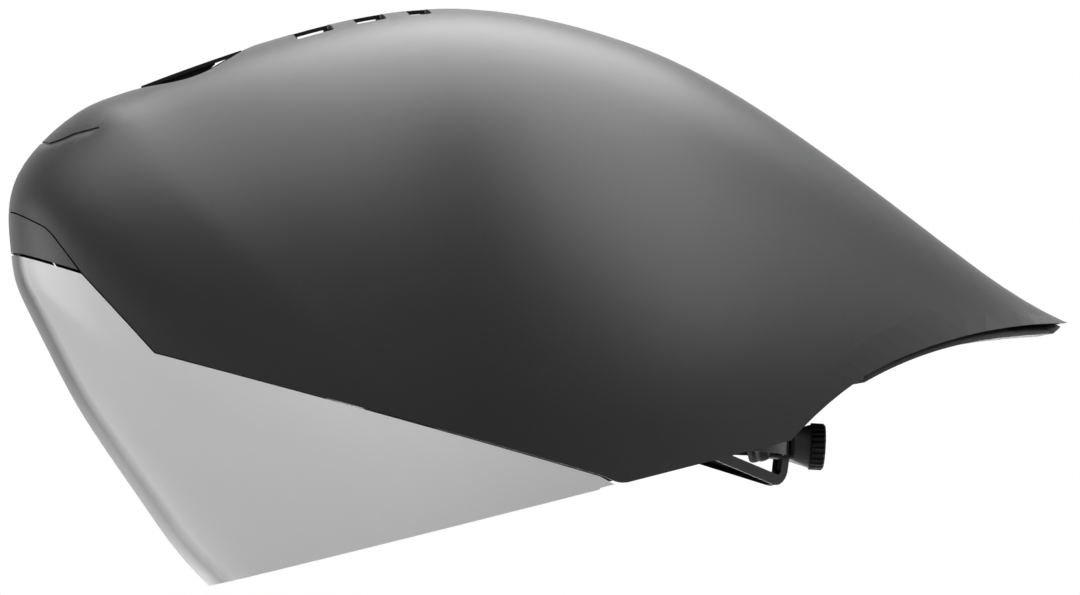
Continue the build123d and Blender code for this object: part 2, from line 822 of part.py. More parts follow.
# Click spring: a ring on the hub with three fingers toward the dial's bumps
with BuildPart() as ratchet_spring:
    with BuildSketch(behind(dial_face)):
        Circle(spring_outer)
        Circle(shaft_radius + assembly_gap, mode=Mode.SUBTRACT)
    extrude(amount=-spring_wall)
    with BuildSketch(behind(dial_face)):
        with PolarLocations((spring_outer + shaft_radius) / 2, spring_fingers):
            Circle(click_radius)
    extrude(amount=-(spring_room - click_height - click_gap))
save(ratchet_spring.part, "ratchet_spring")

with BuildPart() as dial_screw:
    with BuildSketch(behind(dial_face + dial_wall)):
        Circle(screw_head_radius)
        RegularPolygon(screw_drive_radius, 6, mode=Mode.SUBTRACT)
    extrude(amount=screw_head_wall - screw_floor)
    with BuildSketch(behind(dial_face + dial_wall - screw_head_wall + screw_floor)):
        Circle(screw_head_radius)
    extrude(amount=screw_floor)
    with BuildSketch(behind(dial_face + dial_wall - screw_head_wall)):
        Circle(screw_radius - bearing_clearance)
    extrude(amount=dial_wall - screw_head_wall - dial_recess + screw_length - bearing_clearance)
save(dial_screw.part, "dial_screw")

# Cradle loops: V-shaped bands from under each arm, down behind the head and up to the hub
loop_arm = Vector(loop_arm_x, loop_arm_y, loop_arm_z)
loop_low = Vector(loop_low_x, loop_low_y, -loop_drop)
loop_hub = Vector(loop_hub_x, loop_hub_y, loop_hub_z)
loop_plane = Plane(loop_low, x_dir=loop_arm - loop_low, z_dir=(loop_arm - loop_low).cross(loop_hub - loop_low))
with BuildPart() as loop:
    with BuildSketch(loop_plane.offset(-loop_wall / 2)):
        with BuildLine() as loop_line:
            ends = [loop_plane.to_local_coords(point) for point in (loop_arm, loop_low, loop_hub)]
            FilletPolyline(*[(point.X, point.Y) for point in ends], radius=loop_bend)
        trace(loop_line.line.edges(), loop_width)
    extrude(amount=loop_wall)
    with BuildSketch(loop_plane.offset(loop_wall / 2 - groove_depth)):
        trace(loop_line.line.edges(), groove_width)
    extrude(amount=groove_depth, mode=Mode.SUBTRACT)
    with BuildSketch(cradle.offset(-hub_half_height)):
        with Locations((0, hub_face)):
            Rectangle(4 * hub_half_width, 2 * hub_face)
    extrude(amount=hub_face, mode=Mode.SUBTRACT, dir=cradle.z_dir)
save(loop.part, "loop_left")
save(mirrored(loop.part), "loop_right")

# Pads on the hub and the strip that guides it up into the liner
with BuildPart() as occipital_pads:
    with BuildSketch(behind(hub_face - cover_wall - assembly_gap)):
        with Locations((strip_half_width + pad_side_gap + nape_pad_half, 0),
                       (-strip_half_width - pad_side_gap - nape_pad_half, 0)):
            RectangleRounded(2 * nape_pad_half, 2 * nape_pad_half_height, nape_pad_half / 2)
    extrude(amount=nape_pad_wall)
save(occipital_pads.part, "occipital_pads")

strip_foot = cradle.from_local_coords((0, hub_face - cover_wall - strip_wall / 2, -strip_foot_drop))
strip_bend = cradle.from_local_coords((0, hub_face - cover_wall - strip_wall / 2, strip_bend_height))
with BuildPart() as hanger_strip:
    with BuildSketch(Plane.YZ.offset(-strip_half_width)):
        with BuildLine() as strip_line:
            FilletPolyline((strip_foot.Y, strip_foot.Z), (strip_bend.Y, strip_bend.Z),
                           (strip_bend.Y, strip_top), radius=strip_bend_radius)
        trace(strip_line.line.edges(), strip_wall)
    extrude(amount=2 * strip_half_width)
save(hanger_strip.part, "hanger_strip")

# Chin strap, tucked up inside the low sides
anchor_top = ear_height - assembly_gap
with BuildPart() as anchors:
    for y in (strap_front_y, strap_rear_y):
        add(upright_block(strap_x - anchor_half, strap_x + anchor_half, y - webbing_width / 2 - anchor_edge,
                          y + webbing_width / 2 + anchor_edge, anchor_top - anchor_wall, anchor_top))
with BuildPart() as strap_anchors:
    add(anchors.part)
    add(mirrored(anchors.part))
save(strap_anchors.part, "strap_anchors")

strap_end = anchor_top - anchor_wall - assembly_gap
strap_block = Plane.YZ.offset(strap_x - webbing_wall / 2)
with BuildPart() as strap:
    with BuildSketch(strap_block):
        with BuildLine() as front_line:
            Line((strap_front_y, strap_end + webbing_width), (strap_join_y, strap_join_z))
        trace(front_line.line.edges(), webbing_width)
        with BuildLine() as rear_line:
            Line((strap_rear_y, strap_end + webbing_width), (strap_join_y, strap_join_z))
        trace(rear_line.line.edges(), webbing_width)
        with Locations((strap_join_y, strap_join_z)):
            Circle(webbing_width / 2)
        with Locations((strap_join_y, (strap_join_z + strap_low) / 2)):
            Rectangle(webbing_width, strap_join_z - strap_low)
        with Locations((strap_join_y, strap_end + overrun)):
            Rectangle(4 * overrun, 2 * overrun, mode=Mode.SUBTRACT)
    extrude(amount=webbing_wall)
save(strap.part, "strap_left")
save(mirrored(strap.part), "strap_right")

divider_slot = webbing_wall + 2 * assembly_gap
with BuildPart() as divider:
    with BuildSketch(Plane.XY.offset(divider_z)):
        with Locations((strap_x, strap_join_y)):
            RectangleRounded(divider_half_wall * 2, webbing_width + 2 * divider_edge, divider_half_wall / 2)
            Rectangle(divider_slot, webbing_width + 2 * assembly_gap, mode=Mode.SUBTRACT)
    extrude(amount=divider_height)
with BuildPart() as strap_dividers:
    add(divider.part)
    add(mirrored(divider.part))
save(strap_dividers.part, "strap_dividers")

# Buckle halves, one at the end of each strap
buckle_top = strap_low - assembly_gap
with BuildPart() as buckle_socket:
    with BuildSketch(Plane.YZ.offset(strap_x - buckle_half_wall)):
        with Locations((strap_join_y, buckle_top - buckle_height / 2)):
            RectangleRounded(buckle_width, buckle_height, buckle_corner)
    extrude(amount=2 * buckle_half_wall)
    with BuildSketch(Plane.XY.offset(buckle_top - buckle_height)):
        with Locations((strap_x, strap_join_y)):
            Rectangle(prong_wall + 2 * assembly_gap, buckle_width - 2 * buckle_corner)
    extrude(amount=prong_height, mode=Mode.SUBTRACT)
save(buckle_socket.part, "buckle_socket")

with BuildPart() as buckle_prong:
    with BuildSketch(Plane.YZ.offset(-strap_x - prong_wall / 2)):
        with Locations((strap_join_y, buckle_top - (buckle_height - prong_height) / 2)):
            RectangleRounded(buckle_width, buckle_height - prong_height, buckle_corner)
        for side in (-1, 1):
            with Locations((strap_join_y + side * (buckle_width / 2 - 2 * buckle_corner),
                            buckle_top - buckle_height / 2)):
                Rectangle(buckle_corner, buckle_height)
    extrude(amount=prong_wall)
save(buckle_prong.part, "buckle_prong")
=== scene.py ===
import json
import math
import bmesh
import bpy
import numpy as np
from mathutils import Matrix, Vector
from mathutils.bvhtree import BVHTree


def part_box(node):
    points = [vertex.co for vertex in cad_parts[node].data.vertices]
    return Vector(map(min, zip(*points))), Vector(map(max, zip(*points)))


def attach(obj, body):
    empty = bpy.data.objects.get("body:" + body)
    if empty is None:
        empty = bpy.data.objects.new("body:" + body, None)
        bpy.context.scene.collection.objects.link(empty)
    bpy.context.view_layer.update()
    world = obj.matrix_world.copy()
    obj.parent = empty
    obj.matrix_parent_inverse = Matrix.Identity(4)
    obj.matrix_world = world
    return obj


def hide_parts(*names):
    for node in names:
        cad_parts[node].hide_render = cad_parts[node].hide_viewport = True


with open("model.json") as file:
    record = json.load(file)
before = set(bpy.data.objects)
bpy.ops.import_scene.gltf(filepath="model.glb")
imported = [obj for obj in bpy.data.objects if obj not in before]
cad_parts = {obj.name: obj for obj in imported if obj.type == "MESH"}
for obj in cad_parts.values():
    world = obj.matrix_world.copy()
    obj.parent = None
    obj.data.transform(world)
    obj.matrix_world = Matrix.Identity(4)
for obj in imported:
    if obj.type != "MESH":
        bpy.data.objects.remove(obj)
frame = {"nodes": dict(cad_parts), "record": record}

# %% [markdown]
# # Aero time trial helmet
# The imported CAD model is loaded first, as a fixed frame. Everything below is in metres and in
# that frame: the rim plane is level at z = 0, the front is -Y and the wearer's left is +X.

scene = bpy.context.scene
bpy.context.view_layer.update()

# %% [markdown]
# ## Colours and nodes
# A colour picked from a screen is an sRGB value, and a shader wants linear light, so one
# function turns a hex value into linear. One more small function adds a shader node, sets what
# it is given and links what it is given, and every material is built with it.

# %% Colour and node helpers
def linear(hex_value):
    channels = []
    for place in (0, 2, 4):
        share = int(hex_value[place:place + 2], 16) / 255
        channels.append(share / 12.92 if share <= 0.04045 else ((share + 0.055) / 1.055) ** 2.4)
    return (*channels, 1)


def add_node(tree, kind, settings=None, inputs=None):
    node = tree.nodes.new(kind)
    for key, value in (settings or {}).items():
        setattr(node, key, value)
    for key, value in (inputs or {}).items():
        if isinstance(value, bpy.types.NodeSocket):
            tree.links.new(value, node.inputs[key])
        else:
            node.inputs[key].default_value = value
    return node


def new_material(name):
    material = bpy.data.materials.new(name)
    material.use_nodes = True
    tree = material.node_tree
    shader = tree.nodes["Principled BSDF"]
    place = add_node(tree, "ShaderNodeTexCoord").outputs["Object"]
    return material, tree, shader, place


def ramp(tree, value, stops):
    node = add_node(tree, "ShaderNodeValToRGB", inputs={"Fac": value})
    marks = node.color_ramp.elements
    while len(marks) < len(stops):
        marks.new(0.5)
    for mark, (position, colour) in zip(marks, stops):
        mark.position = position
        mark.color = linear(colour) if isinstance(colour, str) else (colour, colour, colour, 1)
    return node.outputs["Color"]


def bump_from(tree, shader, height, millimetres):
    bump = add_node(tree, "ShaderNodeBump", inputs={
        "Height": height, "Distance": millimetres / 1000, "Strength": 1.0})
    tree.links.new(bump.outputs["Normal"], shader.inputs["Normal"])


print("helpers ready")

# %% [markdown]
# ## Shell finish
# The shell is thin moulded polycarbonate with a satin dark grey paint. Its material is a plain
# dielectric with a low specular level, not a metal: it stays dark where it faces the eye and
# brightens where the view runs along it. A fine grain stands for the flake in the paint, and
# colour and roughness waver with it. The real grain is taken to be about a quarter of a
# millimetre, and it is drawn at half a millimetre so that it still shows in the picture.

# %% Shell material
shell_paint, tree, shader, place = new_material("painted_polycarbonate_satin_flake")
flake_grain_mm = 0.5
cloud_scale = 14.0  # soft patches about 70 mm across
grain = add_node(tree, "ShaderNodeTexNoise", inputs={
    "Vector": place, "Scale": 1000 / flake_grain_mm, "Detail": 2.0})
cloud = add_node(tree, "ShaderNodeTexNoise", inputs={
    "Vector": place, "Scale": cloud_scale, "Detail": 3.0})
flake = ramp(tree, grain.outputs["Fac"], [(0.30, "0e0e0f"), (0.70, "181819")])
veil = ramp(tree, cloud.outputs["Fac"], [(0.3, "e6e6e6"), (0.7, "ffffff")])
tone = add_node(tree, "ShaderNodeMix", {"data_type": "RGBA", "blend_type": "MULTIPLY"}, {
    "Factor": 1.0, "A": flake, "B": veil})
tree.links.new(tone.outputs["Result"], shader.inputs["Base Color"])
rough = ramp(tree, grain.outputs["Fac"], [(0.2, 0.38), (0.8, 0.46)])
tree.links.new(rough, shader.inputs["Roughness"])
shader.inputs["Specular IOR Level"].default_value = 0.17
bump_from(tree, shader, grain.outputs["Fac"], 0.02)
print(shell_paint.name)

# %% [markdown]
# ## Lens finish
# The lens is injection moulded polycarbonate, about 2.2 mm thick, with a grey smoke tint and a
# thin silver mirror coat outside, so from outside it is an even pale grey and what lies behind
# it doesn't show. Where the view runs along the wall, as at the front edge, more tinted
# material lies in the way and it looks darker: a Layer Weight node gives that, as it does for
# glass. The lens is drawn opaque, and a weak coat layer adds a little gloss.

# %% Lens material
lens_tint, tree, shader, _ = new_material("tinted_polycarbonate_mirror_coated")
turn = add_node(tree, "ShaderNodeLayerWeight", inputs={"Blend": 0.5})
coat_tone = ramp(tree, turn.outputs["Facing"], [
    (0.0, "e6e6e7"), (0.64, "e6e6e7"), (0.76, "505052")])
tree.links.new(coat_tone, shader.inputs["Base Color"])
shader.inputs["Roughness"].default_value = 0.3
shader.inputs["Specular IOR Level"].default_value = 0.07
shader.inputs["Coat Weight"].default_value = 0.05
shader.inputs["Coat Roughness"].default_value = 0.05
print(lens_tint.name)

# %% [markdown]
# ## Foam, plastics, metal
# The liner is moulded expanded foam: black beads about 3 mm across, pressed together so that
# thin dark lines show between them. The cradle is moulded nylon with a fine spark-eroded
# grain, and the rib is matt. The magnets and the steel pieces are nearly smooth. Grain sizes
# are in millimetres and are drawn coarser than the real ones, so that they show.

# %% Liner material
liner_foam, tree, shader, place = new_material("expanded_polystyrene_black_beads")
beads_per_metre = 330.0
beads = add_node(tree, "ShaderNodeTexVoronoi", {"feature": "DISTANCE_TO_EDGE"}, {
    "Vector": place, "Scale": beads_per_metre})
skin_tone = ramp(tree, beads.outputs["Distance"], [(0.0, "0c0c0d"), (0.18, "26272a")])
tree.links.new(skin_tone, shader.inputs["Base Color"])
shader.inputs["Roughness"].default_value = 0.75
bump_from(tree, shader, ramp(tree, beads.outputs["Distance"], [(0.0, 0.0), (0.25, 1.0)]), 0.25)
print(liner_foam.name)

# %% Moulded nylon material
def moulded(name, dark, light, grain_mm, roughness, grain_depth):
    material, tree, shader, place = new_material(name)
    grain = add_node(tree, "ShaderNodeTexNoise", inputs={
        "Vector": place, "Scale": 1000 / grain_mm, "Detail": 3.0})
    tone = ramp(tree, grain.outputs["Fac"], [(0.3, dark), (0.7, light)])
    tree.links.new(tone, shader.inputs["Base Color"])
    worn = ramp(tree, grain.outputs["Fac"], [(0.2, roughness - 0.06), (0.8, roughness + 0.06)])
    tree.links.new(worn, shader.inputs["Roughness"])
    bump_from(tree, shader, grain.outputs["Fac"], grain_depth)
    print(material.name)
    return material, shader


cradle_nylon, cradle_shader = moulded(
    "moulded_nylon_black_fine_grain", "09090a", "111112", 0.5, 0.5, 0.02)
cradle_shader.inputs["Specular IOR Level"].default_value = 0.08
rib_plastic, rib_shader = moulded(
    "moulded_abs_black_matt", "0b0b0c", "101012", 1.2, 0.6, 0.01)
rib_shader.inputs["Specular IOR Level"].default_value = 0.1
cover_plastic, cover_shader = moulded(
    "moulded_polypropylene_black", "0e0e0f", "161617", 0.6, 0.5, 0.03)
cover_shader.inputs["Specular IOR Level"].default_value = 0.15
magnet_metal, magnet_shader = moulded(
    "nickel_plated_magnet", "b9b7b2", "c9c7c2", 0.4, 0.28, 0.002)
magnet_shader.inputs["Metallic"].default_value = 1.0
steel_metal, steel_shader = moulded(
    "stainless_steel_turned", "a9abad", "bcbec0", 0.3, 0.3, 0.002)
steel_shader.inputs["Metallic"].default_value = 1.0

# %% [markdown]
# ## Smooth copies of the CAD pieces
# A CAD node comes in as loose triangles with flat shading. Where a curved piece shows, a copy
# of its mesh is merged and smooth shaded, with its real edges kept sharp by their angle, and it
# stands for the node. The node itself stays as it is, hidden.

# %% Smooth copy helper
weld_distance = 0.00002


def body_of_node(node):
    for body, members in frame["record"]["behaviour"]["bodies"].items():
        if node in members:
            return body


def finish_mesh(mesh, crease_degrees):
    mesh.shade_smooth()
    mesh.set_sharp_from_angle(angle=math.radians(crease_degrees))


def new_piece(name, mesh, material, body):
    mesh.name = name
    mesh.materials.clear()
    mesh.materials.append(material)
    piece = bpy.data.objects.new(name, mesh)
    scene.collection.objects.link(piece)
    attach(piece, body)
    return piece


def smooth_copy(node, name, material, crease_degrees=28):
    mesh = frame["nodes"][node].data.copy()
    shape = bmesh.new()
    shape.from_mesh(mesh)
    bmesh.ops.remove_doubles(shape, verts=shape.verts, dist=weld_distance)
    shape.to_mesh(mesh)
    shape.free()
    finish_mesh(mesh, crease_degrees)
    piece = new_piece(name, mesh, material, body_of_node(node))
    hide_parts(node)
    print(name, len(mesh.polygons), "triangles for", node)


# %% Shell, front panel and lens
smooth_copy("outer_shell", "shell_moulding", shell_paint, crease_degrees=14)
smooth_copy("brow_insert", "front_panel_moulding", shell_paint, crease_degrees=14)
smooth_copy("visor_lens", "lens_moulding", lens_tint)
smooth_copy("tail_cover", "tail_underside", cover_plastic)

# %% [markdown]
# ## Liner, rib and fit mechanism
# The liner and the low linings are moulded foam, the rib is a thin matt strip that runs along
# under the crown windows, and the cradle's arms, loops, hub and dial are moulded nylon. They are
# copied in the same way, so that their rounded corners catch the light evenly.

# %% Liner, rib and cradle copies
for node, name, material in (
        ("foam_liner", "moulded_liner", liner_foam),
        ("skirt_lining_left", "low_lining_left", liner_foam),
        ("skirt_lining_right", "low_lining_right", liner_foam),
        ("centre_rib", "crown_rib_strip", rib_plastic),
        ("arm_left", "cradle_arm_left", cradle_nylon),
        ("arm_right", "cradle_arm_right", cradle_nylon),
        ("loop_left", "cradle_loop_left", cradle_nylon),
        ("loop_right", "cradle_loop_right", cradle_nylon),
        ("temple_discs", "front_pivot_discs", cradle_nylon),
        ("hub_housing", "fit_hub_housing", cradle_nylon),
        ("dial_knob", "fit_dial", cradle_nylon)):
    smooth_copy(node, name, material)

# %% [markdown]
# ## Fin in the intake
# In the photograph something closes the view through the front part of the intake, and what it
# is can't be seen. Here a thin fin does it, which is a guess: it goes down from the rib into
# the air trough and ends in a slanted edge, behind which the light shows. Its top follows the
# underside of the rib, found with rays from below, and is sunk 0.3 mm into it.

# %% Fin under the rib
fin_front, fin_back, fin_slant = -0.1275, -0.0870, 0.011
fin_depth, fin_half_wall, fin_round = 0.005, 0.0011, 0.0005
fin_sink = 0.0003
fin_nose_share = 0.4
fin_stations = 36
ray_aside, ray_start = 0.001, 0.1
rib_faces = BVHTree.FromObject(
    bpy.data.objects["crown_rib_strip"], bpy.context.evaluated_depsgraph_get())
shape = bmesh.new()
rings = []
for number in range(fin_stations + 1):
    y = fin_front + (fin_back - fin_front) * number / fin_stations
    under, _, _, _ = rib_faces.ray_cast(Vector((ray_aside, y, ray_start)), Vector((0, 0, 1)))
    depth = fin_depth * min(
        1, (fin_back - y) / fin_slant, fin_nose_share + (y - fin_front) / fin_slant) + fin_round
    top, low = under.z + fin_sink, under.z - depth
    rings.append([shape.verts.new((x, y, z)) for x, z in (
        (-fin_half_wall, top), (fin_half_wall, top), (fin_half_wall, low + fin_round),
        (fin_half_wall - fin_round, low), (fin_round - fin_half_wall, low),
        (-fin_half_wall, low + fin_round))])
for ring, following in zip(rings, rings[1:]):
    for k in range(6):
        n = (k + 1) % 6
        shape.faces.new((ring[k], ring[n], following[n], following[k]))
shape.faces.new(rings[0])
shape.faces.new(rings[-1])
bmesh.ops.recalc_face_normals(shape, faces=shape.faces)
mesh = bpy.data.meshes.new("rib_fin")
shape.to_mesh(mesh)
shape.free()
finish_mesh(mesh, crease_degrees=40)
fin = new_piece("rib_fin", mesh, rib_plastic, "shell")
print(fin.name, len(mesh.polygons), "faces")

# %% [markdown]
# ## Finishes on the CAD nodes that stay
# The small moulded pieces have the right shape in the CAD, so they keep their own mesh and only
# get their material.

# %% Materials on nodes
def paint(node, material):
    piece = frame["nodes"][node]
    piece.data.materials.clear()
    piece.data.materials.append(material)


for node in ("hub_cover", "pinion", "temple_brackets", "hanger_strip", "strap_anchors",
             "strap_dividers", "buckle_socket", "buckle_prong", "visor_tabs", "visor_docks"):
    paint(node, cradle_nylon)
for node in ("visor_magnets", "dock_magnets"):
    paint(node, magnet_metal)
for node in ("temple_pins", "ratchet_spring", "dial_screw"):
    paint(node, steel_metal)
print("nodes painted")

# %% [markdown]
# ## Pads
# Each pad is soft foam in a knitted fabric bag, so its face bulges and its edges are drawn in.
# A copy of its CAD solid is remeshed in even squares and blown up a little as cloth, with a
# limit of 1.5 mm on how far a point may move, and then gets one subdivision.

# %% Pad fabric
pad_knit, tree, shader, place = new_material("knitted_polyester_black")
knit_scale = 160.0  # a wave every 2 mm, coarser than the real knit
weft = add_node(tree, "ShaderNodeTexWave", {"wave_type": "BANDS", "bands_direction": "Y"}, {
    "Vector": place, "Scale": knit_scale, "Distortion": 0.4})
warp = add_node(tree, "ShaderNodeTexWave", {"wave_type": "BANDS", "bands_direction": "Z"}, {
    "Vector": place, "Scale": knit_scale, "Distortion": 0.4})
knit = add_node(tree, "ShaderNodeMath", {"operation": "MULTIPLY"}, {
    0: weft.outputs["Fac"], 1: warp.outputs["Fac"]})
knit_tone = ramp(tree, knit.outputs["Value"], [(0.0, "141416"), (0.8, "2c2d30")])
tree.links.new(knit_tone, shader.inputs["Base Color"])
shader.inputs["Roughness"].default_value = 0.9
shader.inputs["Sheen Weight"].default_value = 0.3
bump_from(tree, shader, knit.outputs["Value"], 0.15)
print(pad_knit.name)

# %% Pads as blown cloth
pad_nodes = (
    "brow_pad", "crown_pad", "rear_pad", "side_pad_left", "side_pad_right", "occipital_pads")
cloth_pressure = 4.0
cloth_frames = 20


def apply_all(piece):
    graph = bpy.context.evaluated_depsgraph_get()
    graph.update()
    made = bpy.data.meshes.new_from_object(piece.evaluated_get(graph))
    piece.modifiers.clear()
    piece.data = made


def soft_copy(node, name, material, voxel, cap):
    mesh = frame["nodes"][node].data.copy()
    shape = bmesh.new()
    shape.from_mesh(mesh)
    bmesh.ops.remove_doubles(shape, verts=shape.verts, dist=weld_distance)
    bmesh.ops.recalc_face_normals(shape, faces=shape.faces)
    shape.to_mesh(mesh)
    shape.free()
    piece = bpy.data.objects.new(name, mesh)
    scene.collection.objects.link(piece)
    remesh = piece.modifiers.new("remesh", "REMESH")
    remesh.mode = "VOXEL"
    remesh.voxel_size = voxel
    apply_all(piece)
    start = np.array([v.co for v in piece.data.vertices])
    cloth = piece.modifiers.new("cloth", "CLOTH")
    cloth.settings.use_pressure = True
    cloth.settings.uniform_pressure_force = cloth_pressure
    cloth.settings.effector_weights.gravity = 0
    for number in range(1, cloth_frames + 1):
        scene.frame_set(number)
    apply_all(piece)
    scene.frame_set(1)
    moved = np.array([v.co for v in piece.data.vertices]) - start
    reach = np.linalg.norm(moved, axis=1, keepdims=True)
    moved *= np.minimum(1, cap / np.maximum(reach, 1e-9))
    for vertex, spot in zip(piece.data.vertices, start + moved):
        vertex.co = spot
    smooth = piece.modifiers.new("smooth", "SUBSURF")
    smooth.levels = smooth.render_levels = 1
    apply_all(piece)
    piece.data.shade_smooth()
    piece.data.materials.clear()
    piece.data.materials.append(material)
    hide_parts(node)
    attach(piece, body_of_node(node))
    print(name, len(piece.data.polygons), "faces")


for node in pad_nodes:
    soft_copy(node, node + "_cushion", pad_knit, voxel=0.003, cap=0.0015)

# %% [markdown]
# ## Webbing
# The chin strap is flat polyester webbing of the 15 mm size, drawn 14.8 mm wide, woven with a
# fine rib across its width and a firmer selvedge at each side. A flat band is modelled
# directly: a remesh would eat it. A wave texture repeats every 2 pi / (20 * scale), and the
# ribs are drawn coarser than on real webbing, about 2.9 mm apart, so that they show.
# Its weave follows the band, so each band gets its own UV map, with the length along V in
# metres, and the wave textures read that map.

# %% Webbing material
webbing = bpy.data.materials.new("woven_polyester_webbing_black")
webbing.use_nodes = True
tree = webbing.node_tree
shader = tree.nodes["Principled BSDF"]
along = add_node(tree, "ShaderNodeUVMap", {"uv_map": "band"}).outputs["UV"]
ribs_per_metre = 350.0
rib_scale = 2 * ribs_per_metre / 20 * math.pi
picks = add_node(tree, "ShaderNodeTexWave", {"wave_type": "BANDS", "bands_direction": "Y"}, {
    "Vector": along, "Scale": rib_scale, "Distortion": 0.3})
cords = add_node(tree, "ShaderNodeTexWave", {"wave_type": "BANDS", "bands_direction": "X"}, {
    "Vector": along, "Scale": rib_scale, "Distortion": 0.3})
weave = add_node(tree, "ShaderNodeMath", {"operation": "MULTIPLY"}, {
    0: picks.outputs["Fac"], 1: cords.outputs["Fac"]})
weave_tone = ramp(tree, weave.outputs["Value"], [(0.0, "0f0f10"), (0.8, "2b2b2e")])
tree.links.new(weave_tone, shader.inputs["Base Color"])
shader.inputs["Roughness"].default_value = 0.8
shader.inputs["Sheen Weight"].default_value = 0.2
bump_from(tree, shader, weave.outputs["Value"], 0.12)
seam_thread, _ = moulded("bonded_nylon_thread_grey", "3a3a3d", "57575b", 0.3, 0.6, 0.01)
print(webbing.name)

# %% [markdown]
# ## Chin strap
# On each side two bands come down from their anchors in the liner and meet in a divider, then
# run on as one to the buckle. They are held tucked up inside the low sides, as the strap is
# when nobody wears the helmet and nothing of it shows from the side. Each band is a lofted
# strip: its cross-section has rounded selvedges and a slightly thinner middle, and it follows a
# smooth line from anchor to buckle. The two bands of a side lie on one another in the divider.

# %% Strap bands
strap_x = 0.092
band_wall = 0.00066
band_width = 0.0148
band_gap = 0.00002
band_bow = 0.0006
front_top = Vector((0, -0.0052, 0.0710))
rear_top = Vector((0, 0.0412, 0.0710))
divider_at = Vector((0, 0.018, 0.036))
band_end = Vector((0, 0.018, 0.0242))
section = [(-0.5, 0.0), (-0.49, 0.42), (-0.44, 0.5), (-0.2, 0.42), (0.0, 0.40), (0.2, 0.42),
           (0.44, 0.5), (0.49, 0.42), (0.5, 0.0), (0.49, -0.42), (0.44, -0.5), (0.2, -0.42),
           (0.0, -0.40), (-0.2, -0.42), (-0.44, -0.5), (-0.49, -0.42)]


def smooth_line(top, steps=36):
    line = []
    for step in range(steps + 1):
        t = step / steps
        line.append((1 - t) ** 2 * top + 2 * t * (1 - t) * divider_at + t ** 2 * band_end)
    return line


def add_band(shape, uv, top, x, wave):
    line = smooth_line(top)
    rings, run = [], 0.0
    for number, spot in enumerate(line):
        before, after = line[max(number - 1, 0)], line[min(number + 1, len(line) - 1)]
        forward = (after - before).normalized()
        across = Vector((0, -forward.z, forward.y))
        run += (spot - before).length
        bow = wave * math.sin(math.pi * number / (len(line) - 1))
        rings.append((run, [shape.verts.new(
            spot + across * (a * band_width) + Vector((x + bow + b * band_wall, 0, 0)))
            for a, b in section]))
    for (run_a, ring_a), (run_b, ring_b) in zip(rings, rings[1:]):
        for k in range(len(section)):
            n = (k + 1) % len(section)
            face = shape.faces.new((ring_a[k], ring_a[n], ring_b[n], ring_b[k]))
            spots = ((section[k][0], run_a), (section[n][0], run_a),
                     (section[n][0], run_b), (section[k][0], run_b))
            for corner, (a, v) in zip(face.loops, spots):
                corner[uv].uv = (a * band_width, v)
    for run_end, ring in (rings[0], rings[-1]):
        cap = shape.faces.new(ring)
        for corner, (a, b) in zip(cap.loops, section):
            corner[uv].uv = (a * band_width, run_end + b * band_wall)
    return run


for side_name, side in (("left", 1), ("right", -1)):
    shape = bmesh.new()
    uv = shape.loops.layers.uv.new("band")
    front_length = add_band(
        shape, uv, front_top, side * (strap_x + band_wall / 2 + band_gap), side * band_bow)
    rear_length = add_band(
        shape, uv, rear_top, side * (strap_x - band_wall / 2 - band_gap), -side * band_bow)
    bmesh.ops.recalc_face_normals(shape, faces=shape.faces)
    mesh = bpy.data.meshes.new("chin_strap")
    shape.to_mesh(mesh)
    shape.free()
    finish_mesh(mesh, crease_degrees=50)
    band = new_piece("chin_strap_" + side_name, mesh, webbing, "shell")
    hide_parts("strap_" + side_name)
    print(band.name, "bands of", round(front_length * 1000), "and",
          round(rear_length * 1000), "mm")

# %% [markdown]
# ## Stitches
# A stitch is a short thread with rounded ends, and a seam is a row of them at an even pitch.
# That is a job for Geometry Nodes: the tree takes a line, spreads points along it at the pitch,
# sets one stitch on each point turned along the line, makes them real and gives them their
# material. Its sizes are named inputs, so the same tree sews the strap ends and the pads.

